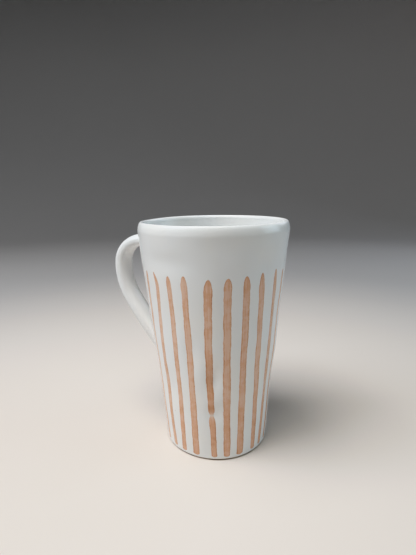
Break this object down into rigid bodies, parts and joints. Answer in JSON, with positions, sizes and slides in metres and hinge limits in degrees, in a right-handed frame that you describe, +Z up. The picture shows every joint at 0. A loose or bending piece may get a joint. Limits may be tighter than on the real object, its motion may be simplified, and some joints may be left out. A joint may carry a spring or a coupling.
{
  "type": "ceramic mug",
  "caption": "Tall tapered handmade ceramic mug with a strap handle, white glaze and painted upright brush strokes round the lower four fifths.",
  "frame": {"origin": "centre of the foot, on the plane that the mug rests on", "axes": "+Z up along the mug's axis to the rim, -X towards the handle, +Y by the right-hand rule"},
  "size_m": [0.1099, 0.0896, 0.134],
  "materials": {
    "clay": "matte",
    "white_glaze": "gloss",
    "brush_colour": "satin"
  },
  "bodies": {
    "root": {"wall": "clay", "base_slab": "clay", "seam_coil": "clay", "handle": "clay", "upper_joint": "clay", "lower_joint": "clay", "outer_glaze": "white_glaze", "liner_glaze": "white_glaze", "handle_glaze": "white_glaze", "stroke_01": "brush_colour", "stroke_02": "brush_colour", "stroke_03": "brush_colour", "stroke_04": "brush_colour", "stroke_05": "brush_colour", "stroke_06": "brush_colour", "stroke_07": "brush_colour", "stroke_08": "brush_colour", "stroke_09": "brush_colour", "stroke_10": "brush_colour", "stroke_11": "brush_colour", "stroke_12": "brush_colour", "stroke_13": "brush_colour", "stroke_14": "brush_colour", "stroke_15": "brush_colour", "stroke_16": "brush_colour", "stroke_17": "brush_colour", "stroke_18": "brush_colour", "stroke_19": "brush_colour", "stroke_20": "brush_colour", "stroke_21": "brush_colour", "stroke_22": "brush_colour", "stroke_23": "brush_colour"}
  },
  "joints": []
}
